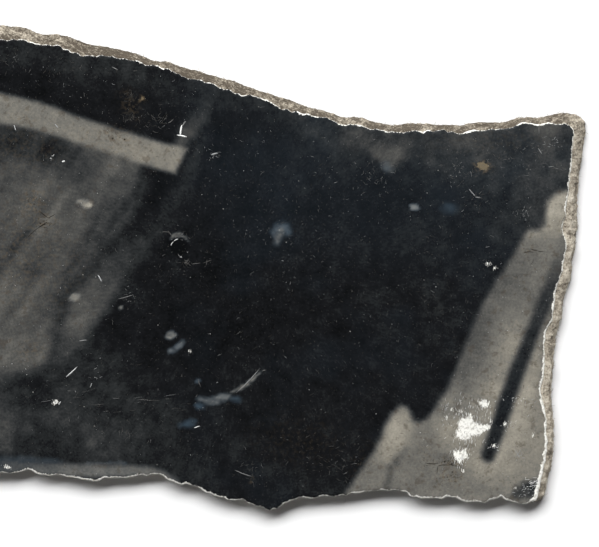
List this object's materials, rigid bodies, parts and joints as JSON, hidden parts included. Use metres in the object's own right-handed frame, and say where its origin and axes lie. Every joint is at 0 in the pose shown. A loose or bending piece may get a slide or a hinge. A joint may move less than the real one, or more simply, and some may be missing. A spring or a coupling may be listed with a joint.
{
  "type": "torn mounted photographic print",
  "caption": "Flat torn piece of an old black-and-white photographic print on grey pulp board, ragged on every side, to lie face up as a found fragment.",
  "frame": {"origin": "on the surface that the board lies on, under the middle of the whole part's bounding box", "axes": "+X to the right across the picture, +Y up the picture, +Z out of the picture, away from the board's back"},
  "size_m": [0.1014, 0.0734, 0.0019],
  "materials": {
    "pulp_board": "torn grey-tan pulp board, fibrous and speckled, matt",
    "gelatin_print": "glossy black-and-white gelatin layer on white coated paper, dusty and scratched, with a torn white rim"
  },
  "bodies": {
    "root": {"mount_board": "pulp_board", "photographic_print": "gelatin_print"}
  },
  "joints": []
}
